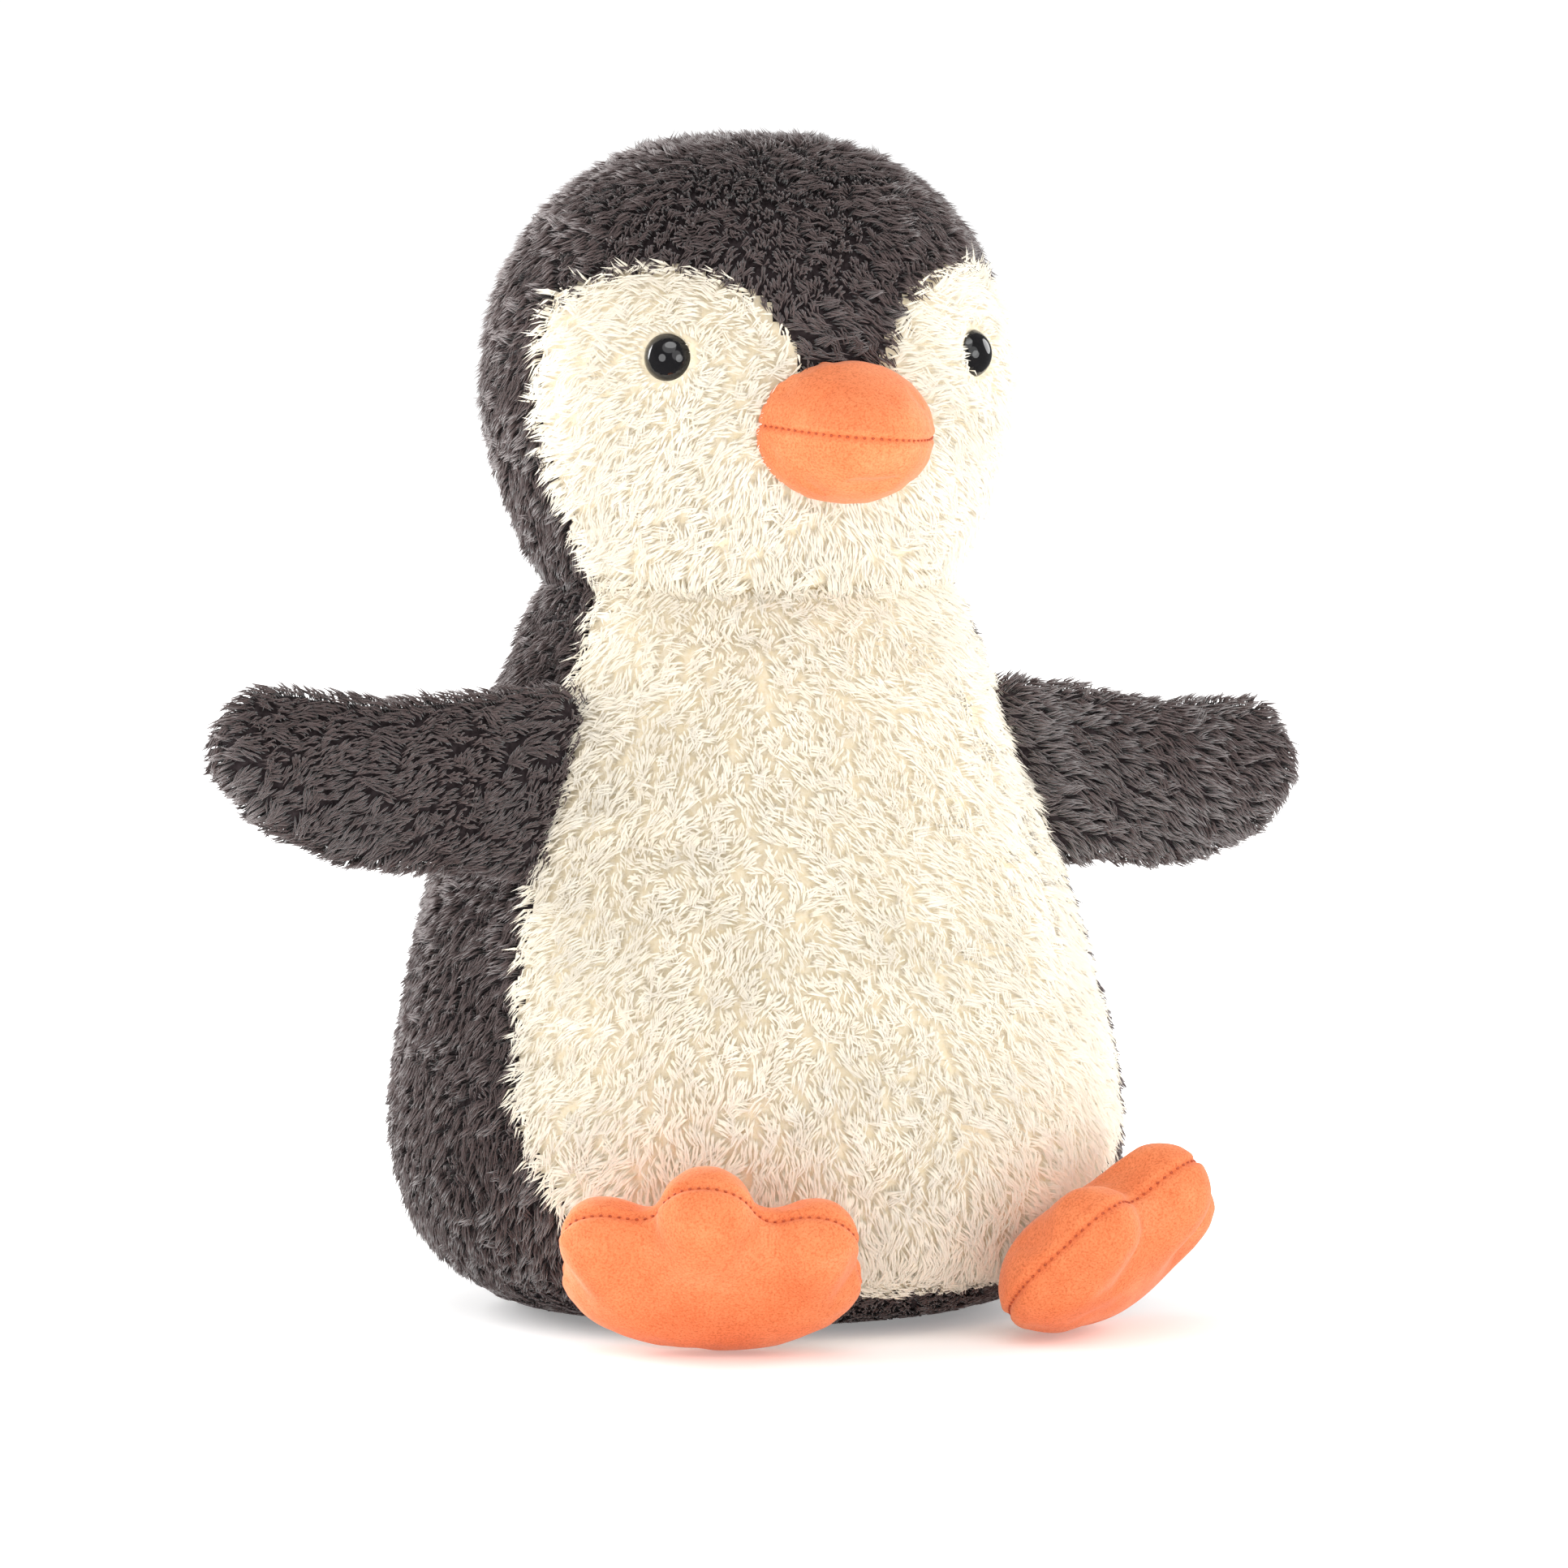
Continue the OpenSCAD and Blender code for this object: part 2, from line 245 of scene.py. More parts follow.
def resample(line, step):
    """The same line with even steps."""
    line = np.asarray(line, float)
    s = np.concatenate([[0], np.cumsum(np.linalg.norm(np.diff(line, axis=0), axis=1))])
    at = np.linspace(0, s[-1], max(2, int(round(s[-1] / step)) + 1))
    return np.stack([np.interp(at, s, line[:, 0]), np.interp(at, s, line[:, 1])], 1)


def inset_line(line, d):
    """The line moved in by d, towards the axis."""
    t = np.gradient(line, axis=0)
    t /= np.linalg.norm(t, axis=1, keepdims=True)
    out = line + d * np.stack([-t[:, 1], t[:, 0]], 1)
    out[:, 0] = np.maximum(out[:, 0], 0)
    return out


def round_line(line):
    """The same line with its corners eased."""
    line = np.asarray(line, float).copy()
    line[1:-1] = 0.5 * line[1:-1] + 0.25 * (line[:-2] + line[2:])
    return line


def lathe(name, line, segments):
    """A closed skin of revolution; line starts and ends on the axis."""
    rings = line[1:-1]
    a = np.arange(segments) * 2 * np.pi / segments
    verts = [(0, 0, line[0][1])]
    for r, z in rings:
        verts += list(zip(r * np.cos(a), r * np.sin(a), np.full(segments, z)))
    verts.append((0, 0, line[-1][1]))
    faces = []
    for k in range(segments):
        faces.append((0, 1 + (k + 1) % segments, 1 + k))
    for i in range(len(rings) - 1):
        b = 1 + i * segments
        for k in range(segments):
            k2 = (k + 1) % segments
            faces.append((b + k, b + k2, b + segments + k2, b + segments + k))
    b = 1 + (len(rings) - 1) * segments
    for k in range(segments):
        faces.append((b + k, b + (k + 1) % segments, len(verts) - 1))
    return new_object(name, verts, faces)


# ---------------------------------------------------------------- stuffing by cloth

SIMS = []


def stuff(ob, pinned, cap, pressure=4.0, slack=0.02):
    """Queues a padded skin for the cloth simulation; pinned is a mask of the vertices held by seams."""
    SIMS.append((ob, np.asarray(pinned, bool), cap, pressure, slack))


def run_sims(frames=20):
    """Swells all queued skins together and caps how far each of their points may move."""
    for ob, pinned, _, pressure, slack in SIMS:
        group = ob.vertex_groups.new(name="seams")
        group.add([int(i) for i in np.where(pinned)[0]], 1.0, "REPLACE")
        mod = ob.modifiers.new("stuffing", "CLOTH")
        s = mod.settings
        s.quality = 6
        s.mass = 0.2
        s.tension_stiffness = s.compression_stiffness = 12
        s.shear_stiffness = 6
        s.bending_stiffness = 0.4
        s.air_damping = 4
        s.use_pressure = True
        s.uniform_pressure_force = pressure
        s.shrink_min = -slack
        s.vertex_group_mass = "seams"
        s.effector_weights.gravity = 0
        mod.collision_settings.use_collision = False
        mod.point_cache.frame_start = 1
        mod.point_cache.frame_end = frames
    for f in range(1, frames + 1):
        SCENE.frame_set(f)
    dg = bpy.context.evaluated_depsgraph_get()
    for ob, _, cap, _, _ in SIMS:
        rest = coords(ob)
        e = ob.evaluated_get(dg)
        co = np.empty(len(e.data.vertices) * 3)
        e.data.vertices.foreach_get("co", co)
        move = np.nan_to_num(co.reshape(-1, 3) - rest)
        size = np.linalg.norm(move, axis=1, keepdims=True)
        move *= np.tanh(size / cap) * cap / np.maximum(size, 1e-9)
        ob.modifiers.clear()
        ob.vertex_groups.clear()
        set_coords(ob, rest + move)
    SCENE.frame_set(1)


# ---------------------------------------------------------------- materials


def node_material(name):
    mat = bpy.data.materials.new(name)
    mat.use_nodes = True
    nt = mat.node_tree
    return mat, nt, nt.nodes["Principled BSDF"]


def add(nt, kind, **values):
    node = nt.nodes.new(kind)
    for k, v in values.items():
        if k in node.inputs:
            node.inputs[k].default_value = v
        else:
            setattr(node, k, v)
    return node


def attribute(nt, name):
    node = nt.nodes.new("ShaderNodeAttribute")
    node.attribute_name = name
    return node.outputs["Fac"]


def mix_colours(nt, factor, a, b, mode="MIX"):
    node = nt.nodes.new("ShaderNodeMix")
    node.data_type = "RGBA"
    node.blend_type = mode
    for socket, value in ((node.inputs[0], factor), (node.inputs[6], a), (node.inputs[7], b)):
        if isinstance(value, bpy.types.NodeSocket):
            nt.links.new(value, socket)
        else:
            socket.default_value = value if isinstance(value, float) else (*value, 1)
    return node.outputs[2]


def ramp(nt, factor, stops):
    node = nt.nodes.new("ShaderNodeValToRGB")
    while len(node.color_ramp.elements) < len(stops):
        node.color_ramp.elements.new(0.5)
    for e, (at, colour) in zip(node.color_ramp.elements, stops):
        e.position = at
        e.color = (*colour, 1)
    nt.links.new(factor, node.inputs[0])
    return node.outputs[0]


def noise(nt, scale, detail=2.0, roughness=0.5):
    tc = nt.nodes.new("ShaderNodeTexCoord")
    node = add(nt, "ShaderNodeTexNoise", Scale=scale, Detail=detail, Roughness=roughness)
    nt.links.new(tc.outputs["Object"], node.inputs["Vector"])
    return node.outputs[0]


def pile_material(name, root, middle, tip, dull, sheen, glow=0.0):
    """Pile, paler to its tips; glow is painted light: an emission that stands in for the light pale fibres
    pass on to each other.
    """
    mat, nt, p = node_material(name)
    along = ramp(nt, attribute(nt, "tip"), [(0.0, root), (0.42, middle), (1.0, tip)])
    varied = mix_colours(nt, attribute(nt, "tint"), along, dull, "MULTIPLY")
    patch = ramp(nt, noise(nt, 38.0), [(0.35, (0.9, 0.9, 0.9)), (0.7, (1.06, 1.05, 1.04))])
    colour = mix_colours(nt, 1.0, varied, patch, "MULTIPLY")
    nt.links.new(colour, p.inputs["Base Color"])
    p.inputs["Roughness"].default_value = 0.72
    p.inputs["Specular IOR Level"].default_value = 0.25
    p.inputs["Sheen Weight"].default_value = sheen
    p.inputs["Sheen Roughness"].default_value = 0.45
    # painted glow: the pile gives off this colour at strength glow, in place of light bounced between its
    # fibres
    p.inputs["Emission Color"].default_value = (1.0, 0.90, 0.74, 1)
    p.inputs["Emission Strength"].default_value = glow
    return mat


def backing_material(name, low, high):
    """The knitted backing under the pile."""
    mat, nt, p = node_material(name)
    colour = ramp(nt, noise(nt, 700.0, 3.0), [(0.35, low), (0.65, high)])
    nt.links.new(colour, p.inputs["Base Color"])
    p.inputs["Roughness"].default_value = 0.9
    p.inputs["Specular IOR Level"].default_value = 0.1
    return mat


def suede_material(name):
    """Short brushed nap: a fine grain and brushed patches, with painted shade: a darker line down in the
    seams.
    """
    mat, nt, p = node_material(name)
    patches = ramp(
        nt,
        noise(nt, 55.0, 3.0, 0.6),
        [(0.3, (0.80, 0.205, 0.075)), (0.55, (0.86, 0.25, 0.098)), (0.8, (0.92, 0.32, 0.145))],
    )
    grain = ramp(
        nt,
        noise(nt, 1500.0, 2.0, 0.7),
        [(0.32, (0.78, 0.66, 0.6)), (0.5, (1.0, 1.0, 1.0)), (0.72, (1.1, 1.22, 1.3))],
    )
    colour = mix_colours(nt, 1.0, patches, grain, "MULTIPLY")
    # painted shade: the suede darkens towards this dark orange along the seam groove, where shade falls
    painted_seam_shade = mix_colours(nt, attribute(nt, "seam"), colour, (0.60, 0.11, 0.03))
    nt.links.new(painted_seam_shade, p.inputs["Base Color"])
    p.inputs["Roughness"].default_value = 0.88
    p.inputs["Specular IOR Level"].default_value = 0.15
    p.inputs["Sheen Weight"].default_value = 0.4
    p.inputs["Sheen Roughness"].default_value = 0.35
    p.inputs["Sheen Tint"].default_value = (1.0, 0.66, 0.55, 1)
    bump = add(nt, "ShaderNodeBump", Strength=0.35, Distance=0.0004)
    nt.links.new(noise(nt, 1500.0, 3.0, 0.7), bump.inputs["Height"])
    nt.links.new(bump.outputs[0], p.inputs["Normal"])
    return mat


def thread_material(name):
    """Twisted thread, darker than the suede."""
    mat, nt, p = node_material(name)
    colour = ramp(nt, noise(nt, 2600.0), [(0.3, (0.36, 0.05, 0.012)), (0.7, (0.62, 0.12, 0.03))])
    nt.links.new(colour, p.inputs["Base Color"])
    p.inputs["Roughness"].default_value = 0.55
    return mat


def eye_material(name):
    """Polished black plastic with the faintest moulded unevenness."""
    mat, nt, p = node_material(name)
    colour = ramp(nt, noise(nt, 240.0), [(0.3, (0.004, 0.004, 0.005)), (0.7, (0.009, 0.008, 0.009))])
    nt.links.new(colour, p.inputs["Base Color"])
    p.inputs["Roughness"].default_value = 0.05
    p.inputs["IOR"].default_value = 1.48
    p.inputs["Coat Weight"].default_value = 0.3
    p.inputs["Coat Roughness"].default_value = 0.03
    return mat


DARK_PILE = pile_material(
    "dark_pile",
    root=(0.024, 0.015, 0.015),
    middle=(0.092, 0.064, 0.062),
    tip=(0.175, 0.130, 0.126),
    dull=(0.72, 0.69, 0.69),
    sheen=0.45,
)
PALE_PILE = pile_material(
    "pale_pile",
    root=(0.86, 0.75, 0.55),
    middle=(0.90, 0.84, 0.71),
    tip=(0.91, 0.87, 0.79),
    dull=(0.97, 0.93, 0.86),
    sheen=0.05,
    # painted glow: the pale pile emits a little light of its own
    glow=0.13,
)
DARK_BACKING = backing_material("dark_backing", (0.020, 0.014, 0.015), (0.045, 0.034, 0.036))
PALE_BACKING = backing_material("pale_backing", (0.87, 0.75, 0.53), (0.92, 0.83, 0.66))
SUEDE = suede_material("orange_suede")
THREAD = thread_material("orange_thread")
EYE = eye_material("eye_gloss")


# ---------------------------------------------------------------- pile


def sample(ob, cell, seed):
    """Scattered points on a mesh, no two in one cell: their places and normals."""
    rng = np.random.default_rng(seed)
    co, no, tri = coords(ob), vertex_normals(ob), triangles(ob)
    a, b, c = co[tri[:, 0]], co[tri[:, 1]], co[tri[:, 2]]
    area = np.linalg.norm(np.cross(b - a, c - a), axis=1) / 2
    count = int(area.sum() / cell**2 * 6)
    pick = np.minimum(np.searchsorted(np.cumsum(area) / area.sum(), rng.random(count)), len(tri) - 1)
    u, v = rng.random(count), rng.random(count)
    flip = u + v > 1
    u[flip], v[flip] = 1 - u[flip], 1 - v[flip]
    w = np.stack([1 - u - v, u, v], 1)[:, :, None]
    p = (co[tri[pick]] * w).sum(1)
    n = unit((no[tri[pick]] * w).sum(1))
    key = np.floor(p / cell).astype(np.int64)
    key = (key[:, 0] * 8191 + key[:, 1]) * 8191 + key[:, 2]
    _, first = np.unique(key, return_index=True)
    first.sort()
    return p[first], n[first]


def nearest(points, targets):
    """The index of the target nearest to each point."""
    tree = KDTree(len(targets))
    for i, t in enumerate(targets):
        tree.insert(t, i)
    tree.balance()
    return np.array([tree.find(p)[1] for p in points])


def comb(points, normals, flow, clumps, seed, spread=0.5, lean=0.9, wild=0.35):
    """The direction each tuft leans in, its lean angle, and the clump it belongs to."""
    rng = np.random.default_rng(seed)
    clump = nearest(points, clumps)
    patch_at = clumps[:: max(1, len(clumps) // max(8, len(clumps) // 14))]
    patch = nearest(clumps, patch_at)
    turn_patch = rng.normal(0, wild, len(patch_at))
    turn_clump = turn_patch[patch] + rng.normal(0, spread, len(clumps))
    lean_clump = lean + rng.normal(0, 0.16, len(clumps))
    f = flow - (flow * normals).sum(1)[:, None] * normals
    f = unit(f)
    side = np.cross(normals, f)
    a = turn_clump[clump] + rng.normal(0, 0.18, len(points))
    f = f * np.cos(a)[:, None] + side * np.sin(a)[:, None]
    angle = np.clip(lean_clump[clump] + rng.normal(0, 0.12, len(points)), 0.05, 1.38)
    return f, angle, clump


def tufts(name, points, normals, flow, angle, clump, length, seed, material, gather, even):
    """Real tufts as one mesh, each a closed bent spindle; even turns their shading to the skin's."""
    rng = np.random.default_rng(seed)
    n = len(points)
    length = length * (0.78 + 0.44 * rng.random(n))
    a0, a1 = np.maximum(angle - 0.35, 0), np.minimum(angle + 0.3, 1.45)

    def towards(a):
        return normals * np.cos(a)[:, None] + flow * np.sin(a)[:, None]

    root = points - normals * 0.0005
    mid = points + towards(a0) * (length * 0.45)[:, None]
    tip = mid + towards(a1) * (length * 0.55)[:, None]
    middle_of = np.zeros((clump.max() + 1, 3))
    count = np.zeros(clump.max() + 1)
    np.add.at(middle_of, clump, tip)
    np.add.at(count, clump, 1)
    middle_of /= np.maximum(count, 1)[:, None]
    pull = gather * (middle_of[clump] - tip)
    tip = tip + pull
    mid = mid + 0.35 * pull
    for part, floor_gap in ((tip, 0.0004), (mid, 0.0010), (root, 0.0013)):
        part[:, 2] = np.maximum(part[:, 2], floor_gap)
    d = unit(tip - root)
    side = unit(np.cross(d, normals + 1e-4))
    up = np.cross(side, d)
    size = (WIDTH * (0.75 + 0.5 * rng.random(n)))[:, None]
    corners = (math.pi / 2, math.pi * 7 / 6, math.pi * 11 / 6)
    rays = [math.cos(t) * side * 1.1 + math.sin(t) * up * 0.8 for t in corners]
    verts = np.stack([root, *(mid + size * r for r in rays), tip], 1).reshape(-1, 3)
    verts[:, 2] = np.maximum(verts[:, 2], 0.0002)
    spindle = np.array([(0, 1, 2), (0, 2, 3), (0, 3, 1), (1, 4, 2), (2, 4, 3), (3, 4, 1)])
    faces = ((np.arange(n) * 5)[:, None, None] + spindle[None]).reshape(-1, 3)
    ob = new_object(name, verts, faces)
    tint_clump = rng.random(clump.max() + 1)
    tint = np.clip(0.5 * tint_clump[clump] + 0.5 * rng.random(n), 0, 1)
    for label, values in (("tip", np.tile([0, 0.5, 0.5, 0.5, 1], n)), ("tint", np.repeat(tint, 5))):
        layer = ob.data.attributes.new(label, "FLOAT", "POINT")
        layer.data.foreach_set("value", values.astype(np.float32))
    if even:
        shade = np.stack([normals, *(even * normals + (1 - even) * r for r in rays), normals + 0.4 * d], 1)
        ob.data.normals_split_custom_set_from_vertices(unit(shade).reshape(-1, 3))
        ob.visible_shadow = False
    ob.data.materials.append(material)
    return ob


# ---------------------------------------------------------------- torso and head skins

TORSO_NODES = ["belly_panel", "back_panel_left", "back_panel_right", "base_panel"]
HEAD_NODES = ["face_panel_left", "face_panel_right", "crown_panel_left", "crown_panel_right"]
PIVOT_Z = JOINTS["head_nod"]["pos_m"][2]
SHOULDER_Z = PIVOT_Z + 0.0025
HEAD_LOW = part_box("face_panel_left")[0].z
MOUTH_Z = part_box("beak_upper")[0].z

NECK_Z = HEAD_LOW - 0.0015

body_line = outer_profile(TORSO_NODES, 0.0, SHOULDER_Z)
body_line = inset_line(resample(body_line, 0.004), SKIN_INSET)
body_line = body_line[body_line[:, 1] > 0.0012]
last, before = body_line[-1], body_line[-4]
slope = (last[0] - before[0]) / (last[1] - before[1])
rest = NECK_Z - last[1]
neck_r = last[0] + slope * rest
torso_line = np.concatenate(
    [
        resample([(0, 0.0016), (body_line[0][0] - 0.002, 0.0014)], 0.006),
        body_line,
        [(last[0] + slope * rest * k, last[1] + rest * k) for k in (0.33, 0.66)],
        round_line(
            [
                (neck_r + 0.0004, NECK_Z - 0.0015),
                (neck_r - 0.0010, NECK_Z + 0.0006),
                (neck_r - 0.0030, NECK_Z + 0.0020),
                (neck_r - 0.0046, NECK_Z + 0.0042),
                (neck_r - 0.0060, NECK_Z + 0.0070),
            ]
        ),
        resample([(neck_r - 0.011, NECK_Z + 0.0085), (0, NECK_Z + 0.0085)], 0.006),
    ]
)
torso = lathe("torso_skin", torso_line, 128)

head_line = outer_profile(HEAD_NODES, HEAD_LOW, 1.0)
head_line = inset_line(resample(head_line, 0.004), SKIN_INSET)
chin_r = head_line[0][0]
head_line = np.concatenate(
    [
        resample([(0, HEAD_LOW + 0.0020), (chin_r - 0.012, HEAD_LOW + 0.0020)], 0.006),
        round_line(
            [
                (chin_r - 0.0060, HEAD_LOW + 0.0006),
                (chin_r - 0.0026, HEAD_LOW - 0.0018),
                (chin_r + 0.0006, HEAD_LOW - 0.0006),
                (chin_r + 0.0014, HEAD_LOW + 0.0022),
                *head_line[1:3],
            ]
        ),
        head_line[3:],
    ]
)
head_line[-1][0] = 0
head = lathe("head_skin", head_line, 100)


SAG_DEPTH = 0.0075  # the furthest that settled filling pushes the body forward


def sag(points):
    """How far the stuffing in the body has settled forward, towards the belly, at each point."""
    z = points[:, 2]
    return SAG_DEPTH * (0.3 + 0.7 * smooth_step(z, 0, 0.035)) * (1 - smooth_step(z, 0.06, 0.16))


torso_of, head_of = Lookup(TORSO_NODES), Lookup(HEAD_NODES)


def near_seam(ob, lookup):
    """The vertices on either side of a seam between two panels."""
    co = coords(ob)
    label = lookup(co)
    marked = np.zeros(len(co), bool)
    for e in ob.data.edges:
        a, b = e.vertices
        if label[a] != label[b]:
            marked[a] = marked[b] = True
    return marked


torso_co, head_co = coords(torso), coords(head)
stuff(
    torso,
    near_seam(torso, torso_of) | (torso_co[:, 2] < 0.004) | (torso_co[:, 2] > NECK_Z - 0.006),
    cap=0.0022,
    pressure=2.5,
)
stuff(
    head,
    near_seam(head, head_of) | (head_co[:, 2] < HEAD_LOW + 0.004),
    cap=0.0020,
    pressure=2.5,
)


# ---------------------------------------------------------------- flippers, feet and beak skins


class Place:
    """A local frame: origin and three axes."""

    def __init__(self, origin, x, y, z):
        self.o = np.array(origin, float)
        self.m = np.stack([unit(np.array(x, float)), unit(np.array(y, float)), unit(np.array(z, float))])

    def local(self, p):
        return (np.asarray(p) - self.o) @ self.m.T

    def world(self, q):
        return np.asarray(q) @ self.m + self.o


def middle(node):
    return coords(NODES[node]).mean(0)


def flipper_place(side):
    """x out along the flipper, y from its front face to its back face, z up its hinge line."""
    j = JOINTS[f"flipper_{side}_fold"]
    z = np.array(j["axis"], float)
    z = z if z[2] > 0 else -z
    z = unit(z)
    y = middle(f"flipper_{side}_back") - middle(f"flipper_{side}_front")
    y = unit(y - (y @ z) * z)
    x = np.cross(y, z)
    if x @ (middle(f"flipper_{side}_stuffing") - np.array(j["pos_m"])) < 0:
        x = -x
    return Place(j["pos_m"], x, y, z)


def foot_place(side):
    """x along the hinge, y from the toes to the heel, z from the sole to the upper."""
    j = JOINTS[f"foot_{side}_tilt"]
    x = unit(np.array(j["axis"], float))
    z = middle(f"foot_{side}_upper") - middle(f"foot_{side}_sole")
    z = unit(z - (z @ x) * x)
    y = np.cross(z, x)
    if y @ (middle(f"foot_{side}_stuffing") - np.array(j["pos_m"])) > 0:
        y = -y
    return Place(j["pos_m"], x, y, z)


ROOT_FROM_TO = (-0.004, 0.012)  # along the flipper: where its root ends and where its free part begins
ROOT_REACH = 0.0085  # how far the root is drawn inwards, so that it stays sunk in the body at every pose
ROOT_THICKEN, ROOT_WIDEN = 0.35, 0.06
FLIPPER_THIN, FLIPPER_SHORTEN = 0.10, 0.0015  # room left for the pile on the free part
FOOT_WIDEN = 1.035  # gives back the width and depth that smoothing takes from the skin
flippers, feet = {}, {}
for side in SIDES:
    place = flipper_place(side)
    ob = solid_of(
        f"flipper_{side}_skin",
        [f"flipper_{side}_{k}" for k in ("front", "back", "stuffing")],
        0.0042,
    )
    q = place.local(coords(ob))
    root = 1 - smooth_step(q[:, 0], *ROOT_FROM_TO)
    q[:, 0] -= ROOT_REACH * root
    q[:, 1] *= 1 + ROOT_THICKEN * root
    q[:, 2] *= 1 + ROOT_WIDEN * root
    q[:, 1] *= 1 - FLIPPER_THIN * (1 - root)
    q[:, 0] -= FLIPPER_SHORTEN * (1 - root)
    set_coords(ob, place.world(q))
    stuff(ob, (np.abs(q[:, 1]) < 0.0016) | (q[:, 0] < ROOT_FROM_TO[0]), cap=0.004)
    flippers[side] = (ob, place)

for side in SIDES:
    place = foot_place(side)
    ob = solid_of(
        f"foot_{side}_skin",
        [f"foot_{side}_{k}" for k in ("upper", "sole", "stuffing")],
        0.0034,
        smooth=9,
    )
    q = place.local(coords(ob))
    q[:, [0, 2]] *= FOOT_WIDEN
    set_coords(ob, place.world(q))
    stuff(ob, np.abs(q[:, 2]) < 0.0018, cap=0.0028, slack=0.03)
    feet[side] = (ob, place)

beak = solid_of("beak_skin", ["beak_upper", "beak_lower", "beak_stuffing"], 0.0024, smooth=3)
beak_co = coords(beak)
beak_root_y = beak_co[:, 1].max()
stuff(
    beak,
    (np.abs(beak_co[:, 2] - MOUTH_Z) < 0.0013) | (beak_co[:, 1] > beak_root_y - 0.005),
    cap=0.0018,
)

run_sims()

torso, head, beak = subdivide(torso, 1), subdivide(head, 1), subdivide(beak, 2)
torso_co = coords(torso)
torso_co[:, 1] -= sag(torso_co)
set_coords(torso, torso_co)

BEAK_TIP_Y = coords(beak)[:, 1].min()
BEAK_ROLL, BEAK_DROOP, BEAK_SLIM = math.radians(3.8), 0.0016, 0.95


def beak_set(points):
    """The sewn-on beak sits a few degrees askew, a little slim, and droops at its tip."""
    out = points - [0, 0, MOUTH_Z]
    c, s = math.cos(BEAK_ROLL), math.sin(BEAK_ROLL)
    turn = np.array([[c, s], [-s, c]])
    out[:, [0, 2]] = BEAK_SLIM * out[:, [0, 2]] @ turn.T
    out[:, 2] -= BEAK_DROOP * smooth_step(-points[:, 1], -beak_root_y, -BEAK_TIP_Y)
    return out + [0, 0, MOUTH_Z]


def torso_label(points):
    """The body panel each point of the settled body belongs to."""
    back = points.copy()
    back[:, 1] += sag(points)
    return torso_of(back)


for side in SIDES:
    flippers[side] = (subdivide(flippers[side][0], 1), flippers[side][1])
    feet[side] = (subdivide(feet[side][0], 2), feet[side][1])


# ---------------------------------------------------------------- pile on torso, head and flippers

TUFT_CELL = 0.00125
CLUMP_CELL = 0.0034
WIDTH = 0.00034
TUFTS_PER_PIECE = 32000
# material, how far the tips of a clump gather, how evenly its tufts are shaded
PILES = ((PALE_PILE, 0.3, 0.85), (DARK_PILE, 0.42, 0.0))


def split_by_node(skin, nodes, lookup, names, materials):
    """Cuts a skin into one piece for each CAD panel."""
    me = skin.data
    centres = np.empty(len(me.polygons) * 3)
    me.polygons.foreach_get("center", centres)
    label = lookup(centres.reshape(-1, 3))
    out = {}
    for k, node in enumerate(nodes):
        bm = bmesh.new()
        bm.from_mesh(me)
        bm.faces.ensure_lookup_table()
        bmesh.ops.delete(bm, geom=[f for f in bm.faces if label[f.index] != k], context="FACES")
        part = bpy.data.meshes.new(names[k])
        bm.to_mesh(part)
        bm.free()
        part.materials.append(materials[k])
        ob = bpy.data.objects.new(names[k], part)
        SCENE.collection.objects.link(ob)
        out[node] = ob
    bpy.data.objects.remove(skin)
    return out


def chunks(mask, points):
    """Splits a set of tufts into groups small enough for one piece, left to right."""
    at = np.where(mask)[0]
    parts = max(1, math.ceil(len(at) / TUFTS_PER_PIECE))
    order = at[np.argsort(points[at, 0], kind="stable")]
    return [np.sort(g) for g in np.array_split(order, parts)]


EYES = {}
for side in SIDES:
    low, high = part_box(f"eye_washer_{side}")
    centre = (np.array(low) + np.array(high)) / 2
    away = unit(np.array([centre[0], centre[1], 0.0]))
    tipmost = coords(NODES[f"eye_{side}"]) @ away
    EYES[side] = (np.array([0, 0, centre[2]]) + away * tipmost.max(), away)

beak_tree = BVHTree.FromPolygons(
    [tuple(v) for v in beak_set(coords(beak))], [tuple(p.vertices) for p in beak.data.polygons]
)


EYE_CLEARANCE = 0.0065  # no tuft is rooted nearer to the middle of an eye


def clear_of_beak_and_eyes(p):
    """A mask of the points that are not under an eye or behind the sewn-on beak."""
    keep = np.ones(len(p), bool)
    for centre, away in EYES.values():
        d = p - centre
        radial = np.linalg.norm(d - (d @ away)[:, None] * away, axis=1)
        keep &= ~((radial < EYE_CLEARANCE) & (d @ away > -0.02))
    near = np.where((p[:, 1] < -0.05) & (np.abs(p[:, 0]) < 0.04) & (np.abs(p[:, 2] - MOUTH_Z) < 0.035))[0]
    for i in near:
        hit = beak_tree.ray_cast(Vector(p[i]), Vector((0, -1, 0)))
        if hit[0] is not None and hit[1].y < 0:
            keep[i] = False
    return keep


# torso
p, n = sample(torso, TUFT_CELL, seed=11)
under_middle = (n[:, 2] < -0.9) & (np.hypot(p[:, 0], p[:, 1]) < 0.045)  # bare: it is pressed on the floor
ok = (n[:, 2] < 0.7) & (p[:, 2] < NECK_Z + 0.0012) & ~under_middle
ok &= (p[:, :2] * n[:, :2]).sum(1) > 0
p, n = p[ok], n[ok]
label = torso_label(p)
clumps, _ = sample(torso, CLUMP_CELL, seed=12)
flow = np.tile([0, 0, -1.0], (len(p), 1))
flow[:, :2] += 0.25 * unit(p[:, :2])
flow[:, 0] += 0.35 * p[:, 0] / 0.1 * (label == 0)
under = n[:, 2] < -0.75
flow[under] = np.concatenate([p[under, :2], np.zeros((under.sum(), 1))], 1)
f, angle, clump = comb(p, n, flow, clumps, seed=13, lean=0.92)
lower = smooth_step(p[:, 2], 0.004, 0.03)
